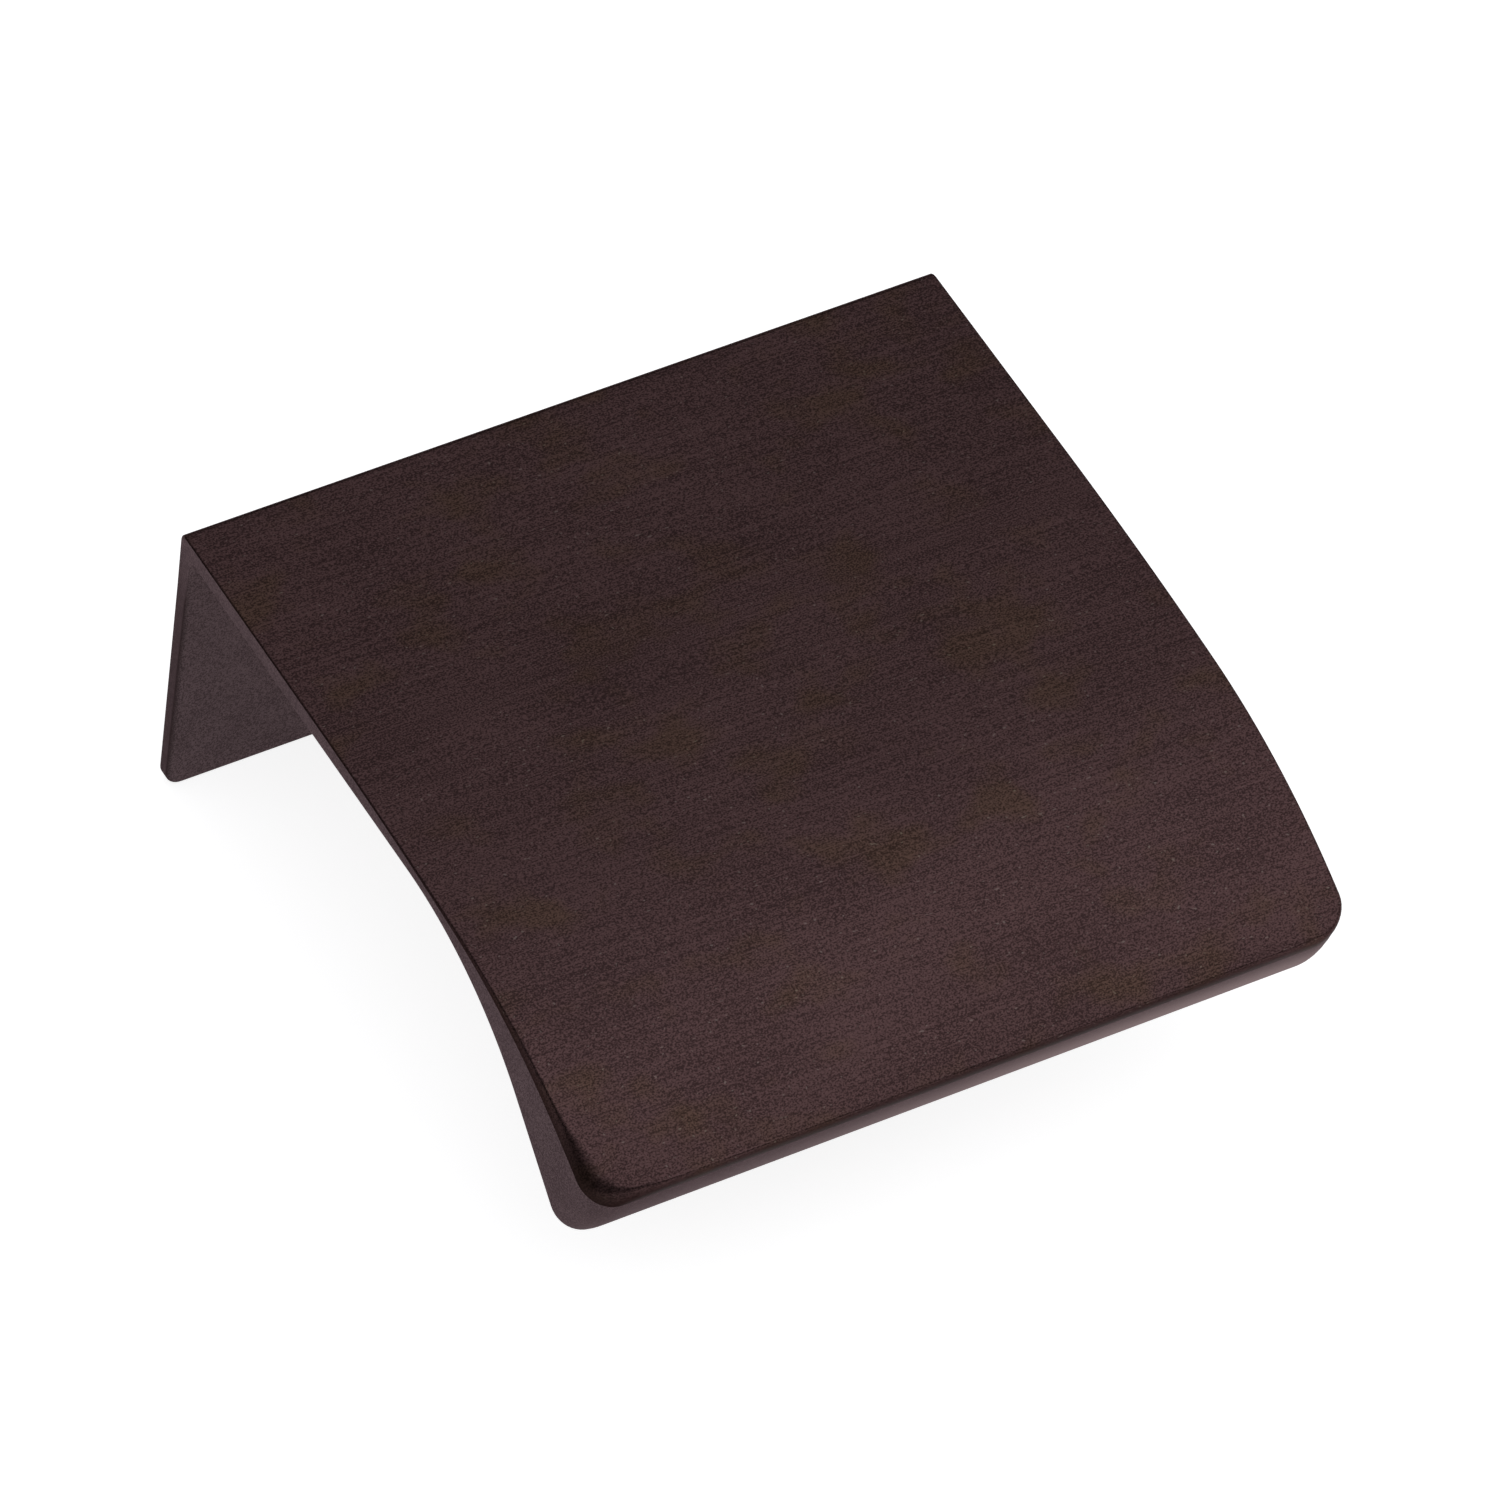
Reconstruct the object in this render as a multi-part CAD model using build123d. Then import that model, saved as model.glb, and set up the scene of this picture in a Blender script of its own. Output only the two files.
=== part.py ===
from build123d import *
from math import radians, tan
import os

# Edge pull for the edge of a cabinet door or a drawer front, in millimetres.
# A thin plate lies on the door's edge and a flange behind it screws to the door's back.
# In front of the door the plate thickens and rolls down into a finger lip.
# X runs along the pull, -Y points out of the door towards the hand and +Z is up.
# The origin is midway between the two screw holes, on the flange's seating face.

# Length along the door's edge
length = 40.0

# Flange, with a slight casting draft on its outer face
flange_height = 16.7
flange_root_thickness = 1.1
flange_foot_thickness = 0.88
flange_corner_radius = 0.8

# Plate, with a flat seat underneath as far as the door reaches
seat_thickness = 1.0
seat_depth = 20.6
seat_corner_radius = 0.35

# Top surface from the bend forwards: level, a faint crown, then the roll over the lip
level_run = 12.2
crown_radius = 174.0
crown_angle = 4.6
roll_radius = 29.9
roll_angle = 28.3

# Underside of the lip from the seat forwards: a finger curve that runs out straight
finger_radius = 16.3
finger_angle = 41.9
finger_run_out = 6.8

# Rounding of the lip's two corners, and of the edges on the outer and inner skins
lip_corner_radius = 1.8
outer_easing = 0.2
inner_easing = 0.12

# Screw holes through the flange, countersunk from its outer face
screw_count = 2
screw_spacing = 16.0
seat_to_screws = 8.0
screw_hole_radius = 1.75
screw_land = 0.4
screw_sink_angle = 90.0

# Faces that meet at less than this angle, in degrees, run on smoothly
smooth_limit = 3.0

# Heights that follow from the sizes above
seat_z = seat_to_screws
top_z = seat_z + seat_thickness
foot_z = top_z - flange_height


def profile():
    """Outline across the pull: sketch X is the depth and sketch Y the height."""
    bend = (flange_root_thickness, top_z)
    level_end = (flange_root_thickness - level_run, top_z)
    seat_corner = (0, seat_z)
    seat_end = (-seat_depth, seat_z)
    forward = (-1, 0)
    with BuildLine() as outline:
        Line(bend, level_end)
        crown = JernArc(level_end, forward, crown_radius, crown_angle)
        roll = JernArc(crown @ 1, crown % 1, roll_radius, roll_angle)
        finger = JernArc(seat_end, forward, finger_radius, finger_angle)
        run_out = Line(finger @ 1, finger @ 1 + (finger % 1) * finger_run_out)
        Line(roll @ 1, run_out @ 1)
        Line(seat_end, seat_corner)
        Polyline(seat_corner, (0, foot_z), (flange_foot_thickness, foot_z), bend)
    return make_face(outline.line)


def blank():
    """The profile run along the whole length, with a small radius in the seat corner."""
    run = extrude(Plane.YZ * profile(), length / 2, both=True)
    seat_corner = run.edges().filter_by(Axis.X).sort_by_distance((0, 0, seat_z))[0]
    return fillet(seat_corner, seat_corner_radius)


def round_corners(solid):
    """Round the lip's corners across its front wall, and the flange's lower corners."""
    front_wall = solid.faces().filter_by(Plane.YZ, reverse=True).sort_by(Axis.Y)[0]
    lip_corners = front_wall.edges().filter_by(Axis.X, reverse=True)
    solid = fillet(lip_corners, lip_corner_radius)
    foot = solid.faces().sort_by(Axis.Z)[0]
    foot_corners = foot.edges().filter_by(Axis.Y)
    return fillet(foot_corners, flange_corner_radius)


def faces_beside(edge, solid):
    """The two faces that share an edge."""
    return [face for face in solid.faces() if any(edge.is_same(other) for other in face.edges())]


def is_sharp(edge, solid):
    """True where the faces beside an edge meet at an angle instead of running on smoothly."""
    one, other = (face.normal_at(edge @ 0.5) for face in faces_beside(edge, solid))
    return one.get_angle(other) > smooth_limit


def is_outer(face):
    """True for the faces that show from above and behind: the top and the flange's back."""
    normal = face.normal_at()
    return abs(normal.X) < 0.1 and normal.Z + 0.6 * normal.Y > 0


def ease_edges(solid):
    """Round every sharp edge, first round the outer skin and then round the inner skin."""
    sharp = [edge for edge in solid.edges() if is_sharp(edge, solid)]
    outer = [edge for edge in sharp if any(is_outer(face) for face in faces_beside(edge, solid))]
    solid = fillet(outer, outer_easing)
    inner = [edge for edge in solid.edges() if is_sharp(edge, solid)]
    return fillet(inner, inner_easing)


def screw_hole():
    """One hole as a solid to cut away: a short straight land, then a cone out to the back."""
    depth = flange_root_thickness
    mouth_radius = screw_hole_radius + depth * tan(radians(screw_sink_angle / 2))
    shank = Cylinder(screw_hole_radius, 2 * depth)
    on_land = (Align.CENTER, Align.CENTER, Align.MIN)
    sink = Pos(Z=screw_land) * Cone(screw_hole_radius, mouth_radius, depth, align=on_land)
    return shank + sink


def edge_pull():
    """The whole pull: one casting with its corners rounded, edges eased and holes sunk."""
    casting = ease_edges(round_corners(blank()))
    flange_plane = Plane(origin=(0, 0, 0), x_dir=(1, 0, 0), z_dir=(0, 1, 0))
    row = GridLocations(screw_spacing, 0, screw_count, 1)
    for place in row:
        casting -= flange_plane * place * screw_hole()
    return casting


os.makedirs("parts", exist_ok=True)
pull = edge_pull()
pull.label = "edge_pull"
export_step(pull, "parts/edge_pull.step")
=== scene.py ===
# %% [markdown]
# # A brushed bronze edge pull
#
# This lesson dresses one small piece of cabinet hardware. An edge pull is screwed to the back of a
# door. Its thin plate lies on the door's edge, and in front of the door it thickens and rolls down
# into a lip for the fingers. It is one zinc casting with a dark bronze finish, brushed on top.
#
# The CAD model gives the exact sizes and the frame, and the look is built around it: a section
# drawn as two lines, a node tree that turns the section into the casting, and two finishes.
# %% Load the CAD model
import bmesh
import bpy
from math import atan2, cos, degrees, hypot, pi, radians, sin, tan
from mathutils import Matrix, Vector


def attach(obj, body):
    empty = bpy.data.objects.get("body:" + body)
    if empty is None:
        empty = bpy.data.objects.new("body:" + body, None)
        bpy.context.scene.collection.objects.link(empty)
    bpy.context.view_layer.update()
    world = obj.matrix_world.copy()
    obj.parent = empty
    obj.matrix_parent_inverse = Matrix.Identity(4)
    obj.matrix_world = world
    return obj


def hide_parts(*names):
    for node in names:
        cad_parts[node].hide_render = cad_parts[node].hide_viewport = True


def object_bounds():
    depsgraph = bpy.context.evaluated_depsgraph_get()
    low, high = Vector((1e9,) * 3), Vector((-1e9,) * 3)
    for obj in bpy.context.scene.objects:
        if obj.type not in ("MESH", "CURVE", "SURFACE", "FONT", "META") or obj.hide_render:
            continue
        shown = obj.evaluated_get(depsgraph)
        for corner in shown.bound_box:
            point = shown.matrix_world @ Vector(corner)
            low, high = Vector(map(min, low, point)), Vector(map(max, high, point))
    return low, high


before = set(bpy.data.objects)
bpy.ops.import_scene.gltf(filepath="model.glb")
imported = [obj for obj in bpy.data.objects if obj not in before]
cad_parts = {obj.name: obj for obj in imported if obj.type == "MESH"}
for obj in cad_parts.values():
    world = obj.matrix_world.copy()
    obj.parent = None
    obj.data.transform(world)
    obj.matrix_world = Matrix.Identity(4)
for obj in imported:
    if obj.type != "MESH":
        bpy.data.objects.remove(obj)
cad_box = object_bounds()
MM = 0.001
print("CAD box in mm:", [[round(value / MM, 2) for value in corner] for corner in cad_box])

# %% [markdown]
# ## Camera
#
# The photo looks down on the pull from its front left through a long lens, so parallel edges stay
# nearly parallel. In the photo the pull lies tilted on its lip and its flange. Here it keeps the
# frame of the door that it is screwed to, so the camera rolls by the same angle instead.
# %% Place the camera
def new_object(name, data):
    """A new object in the scene that shows this data."""
    thing = bpy.data.objects.new(name, data)
    bpy.context.scene.collection.objects.link(thing)
    return thing


def camera_turn(azimuth, elevation, roll):
    """Axes of a camera that stands round and above the object, rolled about its line of sight."""
    a, e = radians(azimuth), radians(elevation)
    right = Vector((cos(a), sin(a), 0))
    back = Vector((sin(a) * cos(e), -cos(a) * cos(e), sin(e)))
    level = Matrix((right, back.cross(right), back)).transposed()
    return level @ Matrix.Rotation(radians(roll), 3, "Z")


SENSOR_WIDTH = 36.0
FOCAL_LENGTH = 382.5
VIEW_CENTRE = Vector((4.914, -11.026, -5.427)) * MM
VIEW_DISTANCE = 745.0 * MM
lens = bpy.data.cameras.new("long_lens")
lens.sensor_width = SENSOR_WIDTH
lens.lens = FOCAL_LENGTH
lens.clip_start = 0.01
lens.clip_end = 10
camera = new_object("photo_camera", lens)
axes = camera_turn(azimuth=-35.978, elevation=48.043, roll=8.479)
camera.matrix_world = (Matrix.Translation(VIEW_CENTRE + axes.col[2] * VIEW_DISTANCE)
                       @ axes.to_4x4())
bpy.context.scene.camera = camera
print("Camera stands", round(VIEW_DISTANCE / MM), "mm from the pull")

# %% [markdown]
# ## A short hand for node trees
#
# Node trees built in a script get long, because each sum is a node. The small class below wraps a
# socket, so that `a * b + c` adds the two maths nodes and their links by itself. The shape, the
# light of the room and the finishes all use it.
# %% Make node trees read like sums
class Flow:
    """A value on its way through a node tree. Sums on it add maths nodes."""

    def __init__(self, socket):
        self.socket = socket
        self.tree = socket.id_data

    def math(self, operation, *others):
        node = self.tree.nodes.new("ShaderNodeMath")
        node.operation = operation
        for socket, value in zip(node.inputs, (self, *others)):
            plug(socket, value)
        return Flow(node.outputs[0])

    def clamped(self):
        """The value, kept between 0 and 1."""
        return self.math("MAXIMUM", 0).math("MINIMUM", 1)

    def __add__(self, other):
        return self.math("ADD", other)

    def __sub__(self, other):
        return self.math("SUBTRACT", other)

    def __rsub__(self, other):
        return (self * -1) + other

    def __mul__(self, other):
        return self.math("MULTIPLY", other)

    def __truediv__(self, other):
        return self.math("DIVIDE", other)

    def __pow__(self, other):
        return self.math("POWER", other)

    __radd__, __rmul__ = __add__, __mul__


def plug(socket, value):
    """Link a flow to a socket, or set the socket to a plain value."""
    if isinstance(value, Flow):
        socket.id_data.links.new(value.socket, socket)
    else:
        socket.default_value = value


def add_node(tree, kind, settings=(), **inputs):
    """Add a node with its settings. An input named Curve_Index fills the socket Curve Index."""
    node = tree.nodes.new(kind)
    for name, value in dict(settings).items():
        setattr(node, name, value)
    for name, value in inputs.items():
        plug(node.inputs[name.replace("_", " ")], value)
    return node


def out(node, name=0):
    """An output of a node as a flow."""
    return Flow(node.outputs[name])


def fade(value, start, end, low=0.0, high=1.0):
    """A smooth step: low where the value is at the start, high where it is at the end."""
    return out(add_node(value.tree, "ShaderNodeMapRange", {"interpolation_type": "SMOOTHSTEP"},
                        Value=value, From_Min=start, From_Max=end, To_Min=low, To_Max=high))


# %% [markdown]
# ## Studio
#
# A dark satin thing shows what stands round it. The ends and the inside of the pull mirror the pale
# table, so its white matters. It could be lit until it is white, but lamps that strong would glare
# on the metal. So the paper glows by itself, and the lamps are set for the metal alone.
# %% Lay the table
TABLE_HALF = 1.5
PAPER = {"Base Color": (0.5, 0.5, 0.5, 1), "Roughness": 0.9, "Specular IOR Level": 0.0,
         "Emission Color": (1, 1, 1, 1), "Emission Strength": 0.85}
table_z = cad_box[0].z
table_corners = [(-TABLE_HALF, -TABLE_HALF), (TABLE_HALF, -TABLE_HALF),
                 (TABLE_HALF, TABLE_HALF), (-TABLE_HALF, TABLE_HALF)]
table_mesh = bpy.data.meshes.new("table")
table_mesh.from_pydata([(x, y, table_z) for x, y in table_corners], [], [(0, 1, 2, 3)])
table = new_object("table", table_mesh)

paper = bpy.data.materials.new("pale_paper")
paper.use_nodes = True
paper_look = paper.node_tree.nodes["Principled BSDF"].inputs
for name, value in PAPER.items():
    paper_look[name].default_value = value
table_mesh.materials.append(paper)
print("The table lies at", round(table_z / MM, 2), "mm")

# %% [markdown]
# The top mirrors the ceiling, which is bright right overhead and dims towards the walls, and the
# eased edges mirror those dim walls: that draws the dark lines of the photo. The room is a world
# whose light depends on height alone. Two large soft panels stand to the right of the pull. They
# light the front of the lip, most of all at its right end.
# %% Light the room
def soft_light(name, place, size, power):
    """A square soft light that faces the pull, with its place and size in metres."""
    panel = bpy.data.lights.new(name, "AREA")
    panel.shape = "SQUARE"
    panel.size = size
    panel.energy = power
    lamp = new_object(name, panel)
    towards = Vector(place).to_track_quat("Z", "Y").to_matrix().to_4x4()
    lamp.matrix_world = Matrix.Translation(place) @ towards


soft_light("front_right", place=(0.3, -0.35, 0.6), size=0.5, power=0.4)
soft_light("right", place=(0.85, -0.1, 0.3), size=0.7, power=1.2)

DIM_WALLS = 0.07
BRIGHT_CEILING = 1.15
WALLS_UP_TO = 0.45
CEILING_FROM = 0.95
COOL_WHITE = (0.95, 0.97, 1, 1)
room = bpy.data.worlds.new("dim_room")
room.use_nodes = True
room_nodes = room.node_tree
direction = out(room_nodes.nodes.new("ShaderNodeTexCoord"), "Generated")
height = out(add_node(room_nodes, "ShaderNodeSeparateXYZ", Vector=direction), "Z")
background = room_nodes.nodes["Background"].inputs
plug(background["Color"], COOL_WHITE)
plug(background["Strength"], fade(height, WALLS_UP_TO, CEILING_FROM, DIM_WALLS, BRIGHT_CEILING))
bpy.context.scene.world = room
bpy.context.scene.view_settings.view_transform = "Standard"
print("The room glows from", DIM_WALLS, "at its walls to", BRIGHT_CEILING, "overhead")

# %% [markdown]
# ## The section, drawn as two lines
#
# Cut across its length, the pull is a long thin strap between two lines. The outer skin starts at
# the lip, rises over the roll, runs level to the bend and drops down the back of the flange. The
# inner skin starts under the lip, follows the finger curve to the flat seat and drops down the
# flange's face. Both lines could be typed in as points. A pen that draws runs and turns is closer
# to how the part was drawn, and every run and turn is a size of the real pull, in millimetres.
# %% Name the section's sizes
def arc_move(radius, turned):
    """A move of the pen round an arc, as its length and its turn in degrees."""
    return (radians(turned) * radius, turned)


LENGTH = 40.0
BEND_CORNER = (1.1, 9.0)
SEAT_CORNER = (0.0, 8.0)
FOOT_Z = -7.7
FOOT_THICKNESS = 0.88
BEND_ROUND = 0.42
SEAT_ROUND = 0.35
LIP_CORNER = 1.8
LOWER_LIP_CORNER = 1.6
FOOT_CORNER = 0.8
# From the bend forwards: the level run, the faint crown and the roll over the lip.
TOP_MOVES = [(12.2, 0), arc_move(174.0, 4.6), arc_move(29.9, 28.3)]
# From the seat's corner forwards: the flat seat, the finger curve and its straight run-out.
UNDER_MOVES = [(20.6, 0), arc_move(16.3, 41.9), (6.8, 0)]
print("The top turns down by", sum(turned for length, turned in TOP_MOVES), "degrees")

# %% [markdown]
# The pen walks along its moves and sets down a point at each given run. The points crowd at the
# lip and at the foot, where the plan's corners turn, so that they lie at even angles round a
# corner. Both skins have the same number of points, so each outer point has its inner partner.
# %% Draw the two skins
LIP_STEPS = 12
FOOT_STEPS = 8
FRONT_STATIONS = 96
BEND_STEPS = 7
DROP_STATIONS = 6


def draw(start, heading, moves, runs):
    """Points at the given runs along a pen line made of (run, turn in degrees) moves."""
    points = []
    for run in runs:
        y, z = start
        angle = radians(heading)
        for length, turned in moves:
            part = min(run, length)
            bend = radians(turned) * part / length
            chord = part * (sin(bend / 2) / (bend / 2) if bend else 1)
            y += chord * cos(angle + bend / 2)
            z += chord * sin(angle + bend / 2)
            angle += bend
            run -= part
            if run <= 0:
                break
        points.append((y, z))
    return points


def spread(first, last, count):
    """Evenly spaced numbers, both ends included."""
    return [first + (last - first) * n / (count - 1) for n in range(count)]


def corner_runs(radius, steps):
    """Distances from an end at which points on a rounded corner lie at even angles."""
    return [radius * (1 - cos(radians(90 * n / steps))) for n in range(steps + 1)]


def skin(corner, moves, foot, rounding, lip_corner):
    """One skin from the lip over the bend to the foot, as (y, z) points in mm."""
    drop_heading = degrees(atan2(foot[1] - corner[1], foot[0] - corner[0]))
    cut = rounding * tan(radians(-drop_heading) / 2)
    start = (corner[0] - cut, corner[1])
    front_moves = [(moves[0][0] - cut, 0), *moves[1:]]
    front = sum(length for length, turned in front_moves)
    lip = corner_runs(lip_corner, LIP_STEPS)
    from_lip = lip + spread(lip[-1], front, FRONT_STATIONS)[1:]
    forwards = draw(start, 180, front_moves, [front - run for run in from_lip])
    arc = radians(-drop_heading) * rounding
    drop = hypot(foot[0] - corner[0], foot[1] - corner[1]) - cut
    foot_runs = [arc + drop - run for run in reversed(corner_runs(FOOT_CORNER, FOOT_STEPS))]
    runs = spread(0, arc, BEND_STEPS)[1:] + spread(arc, foot_runs[0], DROP_STATIONS)[1:]
    return forwards + draw(start, 0, [(arc, drop_heading), (drop, 0)], runs + foot_runs[1:])


outer_skin = skin(BEND_CORNER, TOP_MOVES, (FOOT_THICKNESS, FOOT_Z), BEND_ROUND, LIP_CORNER)
inner_skin = skin(SEAT_CORNER, UNDER_MOVES, (0.0, FOOT_Z), SEAT_ROUND, LOWER_LIP_CORNER)
section = bpy.data.curves.new("section_lines", "CURVE")
section.dimensions = "3D"
for line in (outer_skin, inner_skin):
    spline = section.splines.new("POLY")
    spline.points.add(len(line) - 1)
    for point, (y, z) in zip(spline.points, line):
        point.co = (0, y * MM, z * MM, 1)
drawing = new_object("section_drawing", section)
print("Each skin has", len(outer_skin), "points; the lip's top edge is at", outer_skin[0])

# %% [markdown]
# ## The casting, made from the section by a rule
#
# Between its two skins the pull is solid, and round its plan outline runs a wall with an eased
# edge above and below. That is one rule for every place along the outline: go in over a quarter
# round, down the wall, and over the next quarter round. A geometry node tree says it once, on a
# plain grid. A row of the grid is a place on the outline: the first rows cross the lip's front from
# its middle to the corner, and the others follow the section back to the foot. A column is a step
# round the strap, first on the right and then on the left. The first and last rows fold shut.
#
# The edges were buffed by hand, so they aren't all eased alike. The belt took a shallow bite off
# the top's edges: the rounding turns only part of the way and ends in a crisp line on the wall. It
# is small at the rear, wider towards the lip and widest at the lip's left corner, and the right
# side stayed nearly sharp. The flange was only tumbled, so its edges are full soft rounds. The
# lip's front wall isn't flat either: it swells a fifth of a millimetre. Each has its input.
# %% Open the tree and name its sizes
tree = bpy.data.node_groups.new("pull_from_section", "GeometryNodeTree")
tree.interface.new_socket("Section", in_out="INPUT", socket_type="NodeSocketGeometry")
tree.interface.new_socket("Casting", in_out="OUTPUT", socket_type="NodeSocketGeometry")
SIZES_MM = {
    "Length": LENGTH, "Lip Corner": LIP_CORNER, "Lower Lip Corner": LOWER_LIP_CORNER,
    "Foot Corner": FOOT_CORNER,
    "Rear Easing": 0.1, "Left Easing Inward": 0.3, "Left Easing Down": 0.72,
    "Right Easing Inward": 0.12, "Right Easing Down": 0.12, "Side Easing Fades Over": 10.0,
    "Front Easing Inward": 0.26, "Front Easing Down": 0.9, "Left Corner Easing": 0.8,
    "Right Corner Easing": 0.1, "Corner Easing Width": 2.4, "Corner Easing Shift": 0.6,
    "Lower Easing": 0.12, "Flange Easing": 0.2, "Nose Bulge": 0.22,
    "Screw Spacing": 16.0, "Screw Hole Radius": 1.75, "Screw Land": 0.4, "Screw Sink Depth": 1.0,
}
sockets = {name: tree.interface.new_socket(name, in_out="INPUT", socket_type="NodeSocketFloat")
           for name in SIZES_MM}
finish_sockets = {name: tree.interface.new_socket(name, in_out="INPUT",
                                                  socket_type="NodeSocketMaterial")
                  for name in ("Brushed Finish", "Cast Finish")}
group_in = tree.nodes.new("NodeGroupInput")
size = {name: out(group_in, name) for name in SIZES_MM}
line_pair = out(group_in, "Section")
print("The tree has", len(sockets), "sizes and", len(finish_sockets), "finishes as inputs")

# %% [markdown]
# The columns go once round the strap. They start on the top's centre line, go down the right wall
# by its upper easing, its flank and its lower easing, cross to the centre line underneath and come
# back up on the left. Folded in half, both sides count alike, so one sum serves for both.
# %% Lay out the grid
EASING_STEPS = 8
FLANK_POINTS = 6
LOWER_START = EASING_STEPS + FLANK_POINTS + 1
WALL_POINTS = LOWER_START + EASING_STEPS + 1
HALF_ROUND = WALL_POINTS + 1
ROUND = 2 * HALF_ROUND + 1
FRONT_ROWS = 24
stations = out(add_node(tree, "GeometryNodeAttributeDomainSize", {"component": "CURVE"},
                        Geometry=line_pair), "Point Count") / 2
rows = stations + (FRONT_ROWS + 1)
grid = add_node(tree, "GeometryNodeMeshGrid", Vertices_X=rows, Vertices_Y=ROUND)
index = out(add_node(tree, "GeometryNodeInputIndex"))
row = (index / ROUND).math("FLOOR")
column = index.math("MODULO", ROUND)
on_left = column.math("GREATER_THAN", HALF_ROUND + 0.5)
folded = column.math("MINIMUM", 2 * HALF_ROUND - column)
is_side = folded.math("COMPARE", HALF_ROUND / 2, HALF_ROUND / 2 - 0.5)
wall_step = (folded - 1).math("MAXIMUM", 0).math("MINIMUM", WALL_POINTS - 1)
below = wall_step.math("GREATER_THAN", LOWER_START - 0.5)
down_flank = ((wall_step - EASING_STEPS) / (FLANK_POINTS + 1)).clamped()
round_step = (wall_step.math("MINIMUM", WALL_POINTS - 1 - wall_step)
              .math("MINIMUM", EASING_STEPS))
print("The grid has", ROUND, "columns")

# %% [markdown]
# The middle columns run down the centre line of the pull. They stand still where the corners
# turn, so that the surface between them and the rounded outline is a fan of clean triangles.
# %% Find each row's place on the outline
FRONT_CROWDING = 1.6
in_middle = 1 - is_side
station = ((row - FRONT_ROWS).math("MAXIMUM", in_middle * LIP_STEPS)
           .math("MINIMUM", stations - 1 - in_middle * FOOT_STEPS))
to_corner = ((FRONT_ROWS - row).math("MAXIMUM", 0) / FRONT_ROWS) ** FRONT_CROWDING
is_open = row.math("LESS_THAN", rows - 1.5)
run_field = out(add_node(tree, "GeometryNodeSplineParameter"), "Length")


def at_point(value, number, kind="FLOAT"):
    """The value at one point of the section lines."""
    return out(add_node(tree, "GeometryNodeSampleIndex", {"data_type": kind},
                        Geometry=line_pair, Value=value, Index=number))


def corner_share(distance, radius):
    """How far round a plan corner a point is: 0 at its side end, 1 at its front end."""
    return (1 - distance / radius).math("MAXIMUM", 0)


outer_run = at_point(run_field, station)
inner_run = at_point(run_field, station + stations)
whole_run = at_point(run_field, stations - 1)
at_lip = corner_share(outer_run, size["Lip Corner"])
at_foot = corner_share(whole_run - outer_run, size["Foot Corner"])
sideways = (1 - at_lip ** 2 - at_foot ** 2).math("MAXIMUM", 0).math("SQRT")
lip_corner = size["Lip Corner"] + (size["Lower Lip Corner"] - size["Lip Corner"]) * down_flank
inset_at_lip = at_lip.math("GREATER_THAN", 0) * lip_corner
inset_at_foot = at_foot.math("GREATER_THAN", 0) * size["Foot Corner"]
half_width = size["Length"] / 2 - (inset_at_lip + inset_at_foot) * (1 - sideways)
print(FRONT_ROWS, "rows cross the front and", len(outer_skin), "follow the section")

# %% [markdown]
# How far an edge is eased depends on the way along the outline from the middle of the lip's
# corner, counted towards the foot. A bell curve of that way adds the soft corner, and a wider one
# of the run along the side lets the side's easing fade out towards the bend. Below the bend the
# flange's own easing takes over.
# %% Ease the edges
SIDE_TURN = radians(50)
FRONT_TURN = radians(76)
FLANGE_STARTS = 16.0
FLANGE_HOLDS = 13.5
corner_way = size["Lip Corner"] * (pi / 4 - at_lip.math("ARCSINE"))
side_way = (outer_run - size["Lip Corner"]).math("MAXIMUM", 0)
front_way = to_corner * (size["Length"] / 2 - size["Lip Corner"])
way = corner_way + side_way - front_way


def bell(value, width):
    """A bell curve that is 1 at nothing and small past its width."""
    return ((value / width) ** 2 * -1).math("EXPONENT")


def by_side(name):
    """A size that the left side and the right side each have for themselves."""
    return size["Right " + name] + (size["Left " + name] - size["Right " + name]) * on_left


on_flange = out(add_node(tree, "ShaderNodeMapRange", Value=whole_run - outer_run,
                         From_Min=FLANGE_STARTS * MM, From_Max=FLANGE_HOLDS * MM))
lower_easing = (size["Lower Easing"]
                + (size["Flange Easing"] - size["Lower Easing"]) * on_flange)
corner_bell = bell(way - size["Corner Easing Shift"], size["Corner Easing Width"])
side_bell = bell(outer_run, size["Side Easing Fades Over"])
to_front = at_lip ** 2


def easing(side, front, added):
    """Size of the upper easing: rear to side along the pull, side to front round the corner."""
    at_rear = size["Rear Easing"] + (size["Flange Easing"] - size["Rear Easing"]) * on_flange
    on_side = at_rear + (by_side(side) - size["Rear Easing"]) * side_bell
    upper = on_side + (size[front] - on_side) * to_front + corner_bell * added
    return upper + (lower_easing - upper) * below


ease_in = easing("Easing Inward", "Front Easing Inward", by_side("Corner Easing"))
ease_down = easing("Easing Down", "Front Easing Down", 0)
turn_above = (SIDE_TURN + (FRONT_TURN - SIDE_TURN) * at_lip ** 3
              + (pi / 2 - SIDE_TURN) * on_flange)
turn_below = pi / 2 - (pi / 2 - FRONT_TURN) * at_lip
turn = turn_above + (turn_below - turn_above) * below
turned = turn * (round_step / EASING_STEPS)
inward = ease_in * (1 - turned.math("SINE") / turn.math("SINE"))
downward = ease_down * (1 - turned.math("COSINE")) / (1 - turn.math("COSINE"))
along = inward * (at_lip - at_foot)
print("An upper edge turns by", round(degrees(SIDE_TURN)), "degrees on the side and",
      round(degrees(FRONT_TURN)), "on the front")

# %% [markdown]
# Each point starts on its own skin, on the outer one above and on the inner one below. From there
# it goes into the wall, by the easing and by its share of the flank, and then out to its side. The
# swelling of the lip's front wall comes last. It is a parabola, so it leaves both edges in place.
# %% Place every point
def vector(operation, *values):
    """The result of a vector maths node."""
    node = add_node(tree, "ShaderNodeVectorMath", {"operation": operation})
    for socket, value in zip(node.inputs, values):
        plug(socket, value)
    return out(node)


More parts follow.
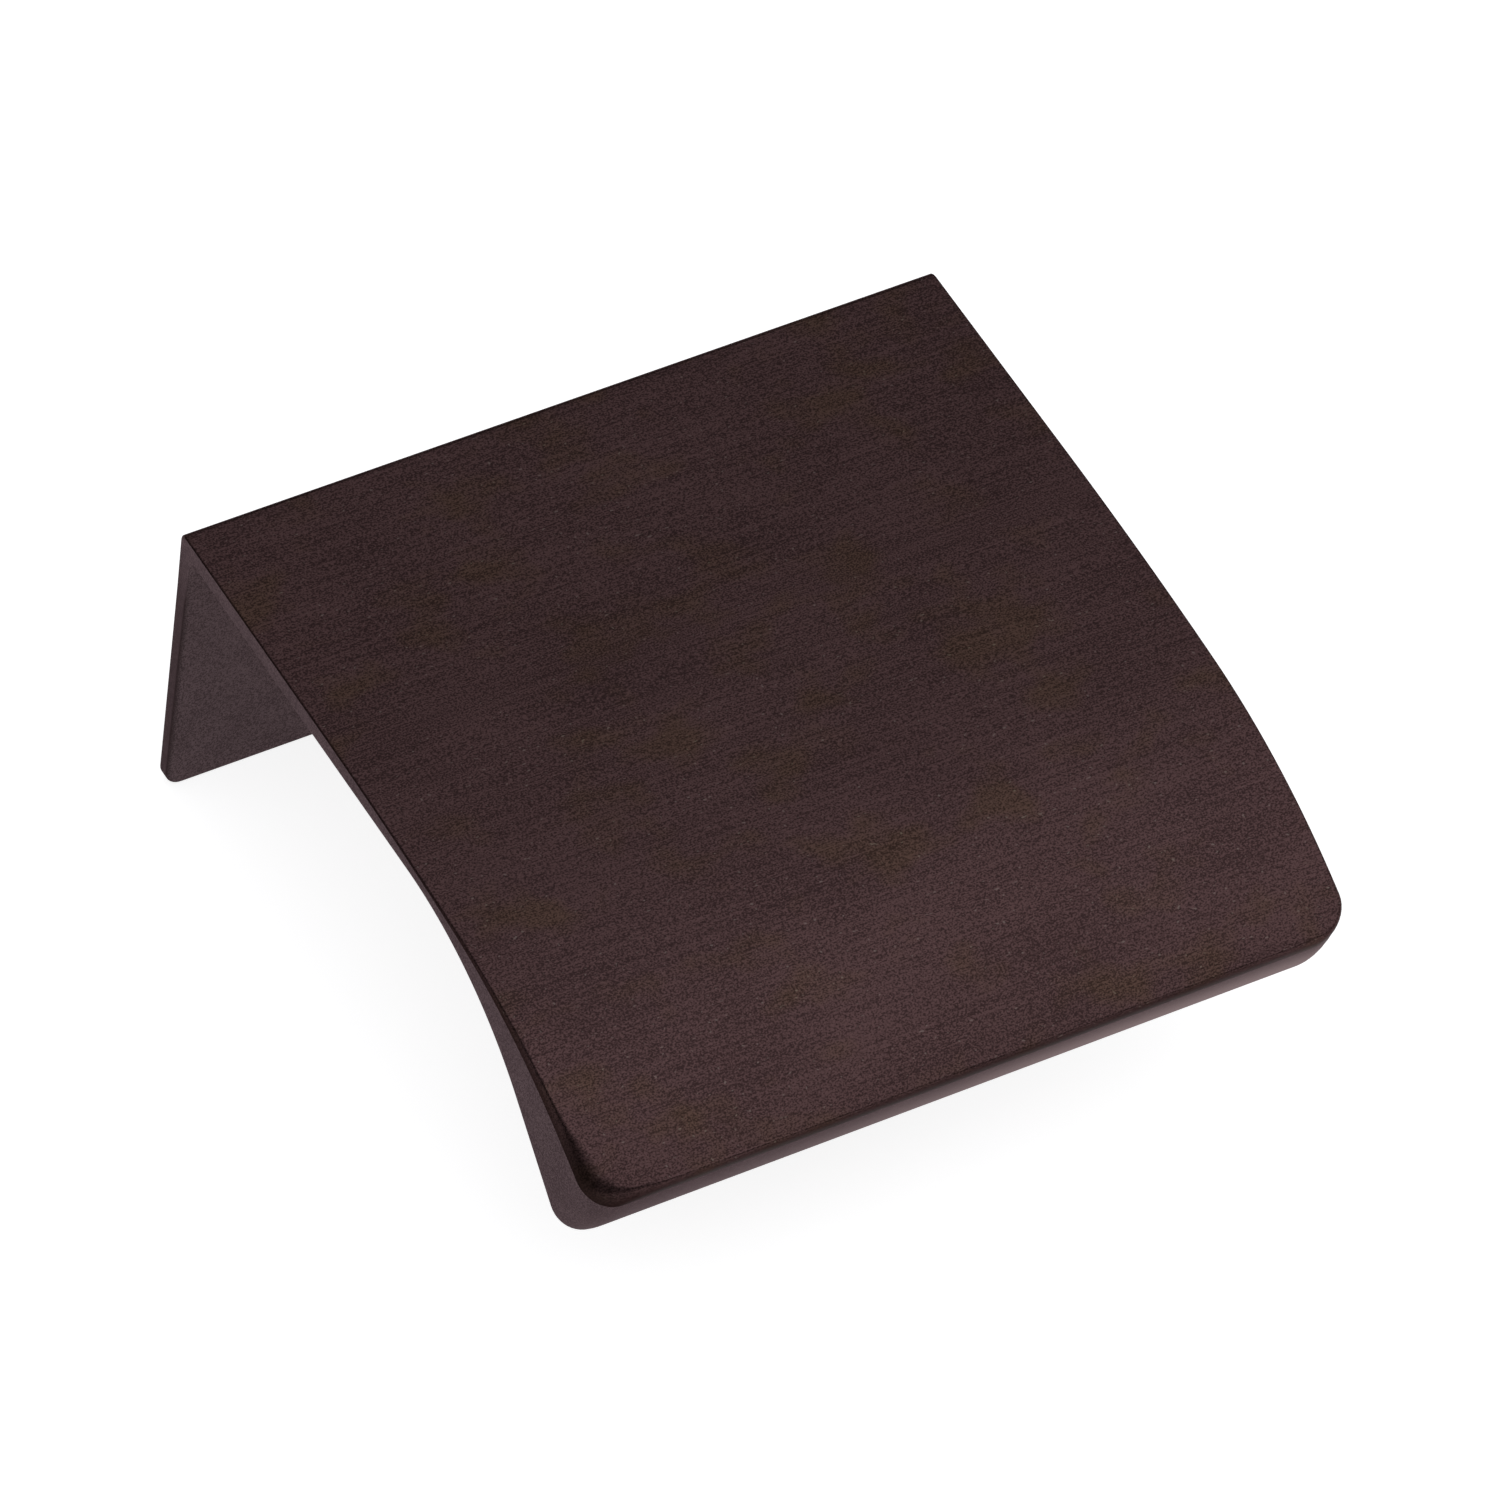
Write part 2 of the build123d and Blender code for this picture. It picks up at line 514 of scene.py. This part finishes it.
def on_skin(number, run):
    """A point of one skin, by the run along it."""
    return out(add_node(tree, "GeometryNodeSampleCurve",
                        {"mode": "LENGTH", "use_all_curves": False},
                        Curves=line_pair, Length=run, Curve_Index=number), "Position")


def choose(which, if_not, if_so):
    """One vector or the other, by a number that is 0 or 1."""
    node = add_node(tree, "GeometryNodeSwitch", {"input_type": "VECTOR"}, Switch=which,
                    **{"False": if_not, "True": if_so})
    return out(node)


position = out(add_node(tree, "GeometryNodeInputPosition"))
outer_point = at_point(position, station, "FLOAT_VECTOR")
inner_point = at_point(position, station + stations, "FLOAT_VECTOR")
through = vector("SUBTRACT", inner_point, outer_point)
into_wall = vector("NORMALIZE", through)
thickness = out(add_node(tree, "ShaderNodeVectorMath", {"operation": "LENGTH"}, Vector=through),
                "Value")
skin_point = choose(below, on_skin(0, outer_run + along), on_skin(1, inner_run + along))
down_wall = ((thickness - ease_down - lower_easing) * down_flank * (1 - below)
             + downward * (1 - below * 2))
eased = vector("MULTIPLY_ADD", into_wall, down_wall, skin_point)
half_way_down = down_flank * (1 - down_flank) * 4
bulge = half_way_down * size["Nose Bulge"] * to_front * is_side * is_open
across = ((half_width - inward * sideways + bulge * sideways) * (1 - to_corner)
          * (1 - on_left * 2) * is_side * is_open)
into_parts = add_node(tree, "ShaderNodeSeparateXYZ", Vector=into_wall)
shift = out(add_node(tree, "ShaderNodeCombineXYZ", X=across,
                     Y=out(into_parts, "Z") * bulge * at_lip,
                     Z=out(into_parts, "Y") * bulge * at_lip * -1))
shaped = add_node(tree, "GeometryNodeSetPosition", Geometry=out(grid),
                  Position=vector("ADD", eased, shift))
print("The shape takes", len(tree.nodes), "nodes")

# %% [markdown]
# The brush reached the top and nothing else. Its reach is stored on the mesh as a number: 1 on
# the top, falling to 0 across the eased edge, and the faces above 0 get the brushed finish. Three
# more numbers go with it: the arris where a rounding ends in a crisp line, the dark of the eased
# edges, partly patina left where the belt hardly touched and partly painted shade for the dark
# reflection that these edges show, and the rim of the flange, whose rounded edges get painted
# shade. Then points that lie on each other are welded, which closes the grid's seams into one skin.
# %% Mark what the brush reached
BRUSHED_UP_TO = 0.85
NEXT_TO_NOTHING = 0.01
EDGE_DARK_KEPT = 0.85
LESS_EDGE_DARK_AT_RIGHT = 0.6
RIM_ABOVE = 0.45
RIM_ADDED_BELOW = 0.45
WELDED_WITHIN = 5e-7
depth_now = out(add_node(tree, "ShaderNodeSeparateXYZ", Vector=skin_point), "Y")
reached = (depth_now.math("LESS_THAN", BRUSHED_UP_TO * MM)
           * down_flank.math("LESS_THAN", NEXT_TO_NOTHING))
over_edge = round_step / EASING_STEPS
brushed = reached * (1 - over_edge)
arris = wall_step.math("COMPARE", EASING_STEPS, 0.1) * (1 - on_flange)
# Painted shade, partly patina: the eased top edges darken, most at the lip's left corner and least
# towards its right end.
less_dark_at_right = (1 - to_corner) ** 4 * (1 - on_left) * LESS_EDGE_DARK_AT_RIGHT
front_dark = (1 - less_dark_at_right) * EDGE_DARK_KEPT
in_dark = (on_left * (1 - to_front) * EDGE_DARK_KEPT
           + to_front * (front_dark + (1 - front_dark) * on_left * corner_bell))
patina_and_shade = reached * over_edge * in_dark
# Painted shade: the flange's rounded edges are marked for darkening, more on the lower easing.
rim = on_flange * over_edge * (RIM_ABOVE + RIM_ADDED_BELOW * below)
MARKS = {"brushed": brushed, "arris": arris, "patina_and_shade": patina_and_shade, "rim": rim}
marked = shaped
for name, value in MARKS.items():
    marked = add_node(tree, "GeometryNodeStoreNamedAttribute", Geometry=out(marked),
                      Name=name, Value=value)
closed = add_node(tree, "GeometryNodeMergeByDistance", Geometry=out(marked),
                  Distance=WELDED_WITHIN)
print("Stored on the mesh:", ", ".join(MARKS))

# %% [markdown]
# The finishes go on before the holes are cut, while every face still carries its numbers. The
# cutters get the cast finish too, and the walls that they leave in the flange take it over.
# %% Give each face its finish
def stored(name):
    """A number that was stored on the mesh, read back."""
    return out(add_node(tree, "GeometryNodeInputNamedAttribute", {"data_type": "FLOAT"},
                        Name=name), "Attribute")


def dress(geometry, finish, selection=True):
    """Give a finish to the selected faces."""
    return out(add_node(tree, "GeometryNodeSetMaterial", Geometry=geometry,
                        Selection=selection, Material=out(group_in, finish)))


all_cast = dress(out(closed), "Cast Finish")
dressed = dress(all_cast, "Brushed Finish",
                stored("brushed").math("GREATER_THAN", NEXT_TO_NOTHING))

# %% [markdown]
# Two wood screws go through the flange from behind. Each hole is a short straight land with a
# cone for the screw's head. One cutter makes both: a cylinder in two stages whose upper ring is
# widened, so the land and the cone meet in a clean ring. It is put on each point of a short line,
# so a longer pull with more screws would need one number changed.
# %% Sink the screw holes
SCREW_SIDES = 64
SCREW_COUNT = 2
FACING_BACK = (-pi / 2, 0, 0)
first_screw = out(add_node(tree, "ShaderNodeCombineXYZ",
                           X=size["Screw Spacing"] * ((1 - SCREW_COUNT) / 2)))
next_screw = out(add_node(tree, "ShaderNodeCombineXYZ", X=size["Screw Spacing"]))
screw_line = add_node(tree, "GeometryNodeMeshLine", Count=SCREW_COUNT,
                      Start_Location=first_screw, Offset=next_screw)
straight = add_node(tree, "GeometryNodeMeshCylinder", Vertices=SCREW_SIDES, Side_Segments=2,
                    Radius=size["Screw Hole Radius"], Depth=size["Screw Sink Depth"] * 2)
height_now = out(add_node(tree, "ShaderNodeSeparateXYZ", Vector=position), "Z")
widening = 1 + size["Screw Sink Depth"] / size["Screw Hole Radius"]
widened = vector("MULTIPLY", position,
                 out(add_node(tree, "ShaderNodeCombineXYZ", X=widening, Y=widening, Z=1)))
cutter = add_node(tree, "GeometryNodeSetPosition", Geometry=out(straight), Position=widened,
                  Selection=height_now.math("GREATER_THAN", size["Screw Sink Depth"] / 2))
on_land = out(add_node(tree, "ShaderNodeCombineXYZ", Y=size["Screw Land"]))
laid = add_node(tree, "GeometryNodeTransform", Geometry=out(cutter), Rotation=FACING_BACK,
                Translation=on_land)
copies = add_node(tree, "GeometryNodeInstanceOnPoints", Points=out(screw_line),
                  Instance=out(laid))
cutters = add_node(tree, "GeometryNodeRealizeInstances", Geometry=out(copies))
cut = add_node(tree, "GeometryNodeMeshBoolean", {"operation": "DIFFERENCE", "solver": "EXACT"},
               Mesh_1=dressed, Mesh_2=dress(out(cutters), "Cast Finish"))
print(SCREW_COUNT, "holes at", SIZES_MM["Screw Spacing"], "mm centres")

# %% [markdown]
# Light runs smoothly over the roundings and breaks at the crisp lines. An edge stays smooth where
# its faces meet at a small angle, except along the arris, which is sharp although it is shallow.
# An edge has the mean of its two ends' numbers, so only one that lies along the arris counts.
# %% Keep the crisp lines crisp
SHARP_ANGLE = radians(35)
ALONG_ARRIS = 0.75
edge_angle = out(add_node(tree, "GeometryNodeInputMeshEdgeAngle"), "Unsigned Angle")
smooth_faces = add_node(tree, "GeometryNodeSetShadeSmooth", Geometry=out(cut))
smooth = add_node(tree, "GeometryNodeSetShadeSmooth", {"domain": "EDGE"},
                  Geometry=out(smooth_faces),
                  Shade_Smooth=(edge_angle.math("LESS_THAN", SHARP_ANGLE)
                                * stored("arris").math("LESS_THAN", ALONG_ARRIS)))
group_out = tree.nodes.new("NodeGroupOutput")
plug(group_out.inputs["Casting"], out(smooth))
print("The whole tree has", len(tree.nodes), "nodes")

# %% [markdown]
# ## Two finishes on one casting
#
# The casting has a dark oil-rubbed bronze finish. On top a belt has drawn fine lines along the
# pull, and it gleams like satin. The ends and the inside keep the fine grain of the casting, so
# they are greyer and duller. Both finishes are noise in the pull's own coordinates: a photo
# texture would show its edges and its one size, and noise stretched along X is what brushing is.
#
# This noise goes flat on every plane through its lattice, and the level top is such a plane. So
# each noise is moved off the lattice by part of a grain.
# %% Tools for a finish
PER_MM = 1 / MM
OFF_THE_LATTICE = (0.37, 0.43, 0.31)


def open_finish(name):
    """A new material with its tree, its shader's inputs and the pull's own coordinates."""
    finish = bpy.data.materials.new(name)
    finish.use_nodes = True
    nodes = finish.node_tree
    look = nodes.nodes["Principled BSDF"].inputs
    return finish, nodes, look, out(nodes.nodes.new("ShaderNodeTexCoord"), "Object")


def noise(place, grains_per_mm, detail=2.0):
    """Noise between about 0 and 1, with its grains per millimetre along X, Y and Z."""
    scaled = add_node(place.tree, "ShaderNodeVectorMath", {"operation": "MULTIPLY_ADD"})
    plug(scaled.inputs[0], place)
    plug(scaled.inputs[1], [count * PER_MM for count in grains_per_mm])
    plug(scaled.inputs[2], OFF_THE_LATTICE)
    return out(add_node(place.tree, "ShaderNodeTexNoise", Vector=out(scaled), Scale=1.0,
                        Detail=detail), "Fac")


def peaks(value, above, steepness):
    """Only what stands above a level, as a share from 0 to 1."""
    return ((value - above) * steepness).clamped()


def between(share, first, second, blend="MIX"):
    """A colour between two colours. Colour sockets of the mix node go by number."""
    node = add_node(share.tree, "ShaderNodeMix", {"data_type": "RGBA", "blend_type": blend})
    for number, value in ((0, share), (6, first), (7, second)):
        plug(node.inputs[number], value)
    return out(node, 2)


def mark(nodes, name):
    """A number that the casting's node tree stored on the mesh."""
    return out(add_node(nodes, "ShaderNodeAttribute", {"attribute_name": name}), "Fac")


def rough_up(look, height, strength, depth):
    """Raise the surface by a height between 0 and 1, over a depth in metres."""
    bump = add_node(height.tree, "ShaderNodeBump", Height=height, Strength=strength,
                    Distance=depth)
    plug(look["Normal"], out(bump, "Normal"))


# %% [markdown]
# The brushed top is layered as the work was: fine and broad lines from the belt, the grain of the
# metal under them, a few short bright scratches and worn specks. In soft patches the finish has an
# olive cast. The eased edges are darkened, partly for the patina left where the belt hardly touched
# and partly as painted shade for the dark reflection they show. It comes in early, by a power below
# 1, so that a narrow edge is dark right from its rim. Each layer of the shade is centred on nothing
# and multiplied by its strength, round one middle.
# %% The brushed top
BRONZE_DARK = (0.0315, 0.0175, 0.0175, 1)
BRONZE_LIGHT = (0.091, 0.0505, 0.0505, 1)
WORN_SPECK = (0.16, 0.12, 0.11, 1)
OLIVE_TINT = (1.0, 1.03, 0.82, 1)
EDGE_PATINA_AND_SHADE = (0.0105, 0.006, 0.0055, 1)
SPECKS_COVER = 0.6
EDGE_DARK_COVERS = 0.95
EDGE_DARK_POWER = 0.7
BRUSHED_MIDDLE = 0.48
BRUSHED_ROUGHNESS = 0.44
brushed_finish, nodes, look, place = open_finish("brushed_bronze")
fine_lines = noise(place, (0.2, 11.0, 11.0), detail=3.0)
broad_lines = noise(place, (0.04, 2.2, 2.2))
lines = fine_lines * 0.8 + broad_lines * 0.2
grain = noise(place, (10.0, 13.0, 13.0), detail=1.0)
patches = noise(place, (0.12, 0.2, 0.2), detail=3.0)
scratches = peaks(noise(place, (0.09, 14.0, 14.0), detail=0.0), above=0.66, steepness=10)
specks = peaks(noise(place, (5.0, 7.0, 7.0), detail=0.0), above=0.77, steepness=12)
olive = peaks(noise(place, (0.25, 0.35, 0.35)), above=0.53, steepness=6)
shade = ((lines - 0.5) * 1.7 + (grain - 0.5) * 3.8 + (patches - 0.5) * 0.6
         + scratches * 0.35 + BRUSHED_MIDDLE)
colour = between(shade.clamped(), BRONZE_DARK, BRONZE_LIGHT)
colour = between(specks * SPECKS_COVER, colour, WORN_SPECK)
colour = between(olive, colour, OLIVE_TINT, "MULTIPLY")
# Painted shade, partly patina: the eased edges are darkened towards the dark edge colour.
colour = between(mark(nodes, "patina_and_shade") ** EDGE_DARK_POWER * EDGE_DARK_COVERS, colour, EDGE_PATINA_AND_SHADE)
plug(look["Base Color"], colour)
plug(look["Roughness"], BRUSHED_ROUGHNESS + (lines - 0.5) * 0.25 + (grain - 0.5) * 0.1)
plug(look["Metallic"], 1.0)
plug(look["Specular Tint"], (0.5, 0.48, 0.48, 1))
rough_up(look, lines * 0.8 + grain * 0.2, strength=0.35, depth=12e-6)
print("The brushed finish has", len(nodes.nodes), "nodes")

# %% [markdown]
# The cast ends and the inside show the fine grain of the mould under a thinner, greyer finish. The
# front of the lip is where the pull reaches furthest forwards and its surface faces forwards. There
# the colour carries painted light: it is darker all over, as painted shade for the shaded table
# that it mirrors, and lighter low down and towards the right end, as a painted highlight for the
# bright table beside the pull. The rounded edges of the flange's rim are darkened as painted shade.
# %% The cast ends and inside
CAST_DARK = (0.044, 0.03, 0.032, 1)
CAST_LIGHT = (0.118, 0.083, 0.088, 1)
CAST_PAINTED_HIGHLIGHT = (0.25, 0.192, 0.187, 1)
CAST_MIDDLE = 0.46
CAST_ROUGHNESS = 0.6
HIGHLIGHT_SHOWS = 0.8
NOSE_BEFORE = -30.0
cast_finish, nodes, look, place = open_finish("cast_bronze")
grain = noise(place, (14.0, 14.0, 14.0), detail=1.0)
blotches = noise(place, (0.5, 0.5, 0.5), detail=3.0)
outwards = out(add_node(nodes, "ShaderNodeTexCoord"), "Normal")
to_back = out(add_node(nodes, "ShaderNodeSeparateXYZ", Vector=outwards), "Y")
at = add_node(nodes, "ShaderNodeSeparateXYZ", Vector=place)
on_nose = out(at, "Y").math("LESS_THAN", NOSE_BEFORE * MM) * fade(to_back, -0.4, -0.75)
to_right = fade(out(at, "X"), -24 * MM, 12 * MM)
low_down = fade(out(at, "Z"), 3.8 * MM, 1.2 * MM)
# Painted shade: the front of the lip is darkened all over.
shade = (grain - 0.5) * 4.0 + (blotches - 0.5) * 0.6 + CAST_MIDDLE - on_nose * 0.25
colour = between(shade.clamped(), CAST_DARK, CAST_LIGHT)
# Painted highlight: the front of the lip is lightened low down and towards its right end.
colour = between(to_right * low_down * on_nose * HIGHLIGHT_SHOWS, colour, CAST_PAINTED_HIGHLIGHT)
# Painted shade: the flange's rounded edges are darkened.
colour = between(mark(nodes, "rim"), colour, EDGE_PATINA_AND_SHADE)
plug(look["Base Color"], colour)
plug(look["Roughness"], CAST_ROUGHNESS + (grain - 0.5) * 0.25)
plug(look["Metallic"], 0.9)
plug(look["Specular Tint"], (0.6, 0.51, 0.53, 1))
rough_up(look, grain * 0.8 + blotches * 0.2, strength=0.9, depth=20e-6)
print("The cast finish has", len(nodes.nodes), "nodes")

# %% [markdown]
# ## Run the rule
#
# The sizes go into the modifier by each socket's identifier, before the drawing is evaluated.
# The result is kept as a plain mesh. Weighted normals then lean each vertex towards its larger
# faces, each counted by its area and its angle there, so the broad faces stay flat beside their
# small roundings and the long thin triangles at the lip's corners don't tilt them.
# %% Make the casting
modifier = drawing.modifiers.new("casting", "NODES")
modifier.node_group = tree
for name, socket in sockets.items():
    modifier[socket.identifier] = SIZES_MM[name] * MM
modifier[finish_sockets["Brushed Finish"].identifier] = brushed_finish
modifier[finish_sockets["Cast Finish"].identifier] = cast_finish


def plain_mesh(thing, name):
    """The mesh that an object's modifiers make, as a mesh of its own."""
    bpy.context.view_layer.update()
    depsgraph = bpy.context.evaluated_depsgraph_get()
    mesh = bpy.data.meshes.new_from_object(thing.evaluated_get(depsgraph),
                                           preserve_all_data_layers=True, depsgraph=depsgraph)
    mesh.name = name
    return mesh


raw_mesh = plain_mesh(drawing, "casting_raw")
bpy.data.objects.remove(drawing)
for number in reversed(range(len(raw_mesh.materials))):
    if raw_mesh.materials[number] is None:
        raw_mesh.materials.pop(index=number)
casting = new_object("edge_pull_casting", raw_mesh)
weighting = casting.modifiers.new("flat_faces_first", "WEIGHTED_NORMAL")
weighting.keep_sharp = True
weighting.mode = "FACE_AREA_WITH_ANGLE"
casting.data = plain_mesh(casting, "edge_pull_casting")
casting.modifiers.remove(weighting)
bpy.data.meshes.remove(raw_mesh)
print("The casting wears", [material.name for material in casting.data.materials])

# %% [markdown]
# The mesh is a result in its own right, so it is measured: a sound casting has no open edges and
# no sliver faces, and about the volume of the CAD model, 3308 cubic millimetres.
# %% Measure it
shape = bmesh.new()
shape.from_mesh(casting.data)
open_edges = sum(not edge.is_manifold for edge in shape.edges)
smallest = min(face.calc_area() for face in shape.faces)
print("The casting has", len(shape.faces), "faces,", open_edges, "open edges,",
      round(shape.calc_volume(signed=True) / MM ** 3, 1), "cubic mm; smallest face", smallest)
shape.free()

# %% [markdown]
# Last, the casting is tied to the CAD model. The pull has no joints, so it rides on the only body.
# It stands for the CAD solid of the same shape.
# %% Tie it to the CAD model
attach(casting, "root")
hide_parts("edge_pull")
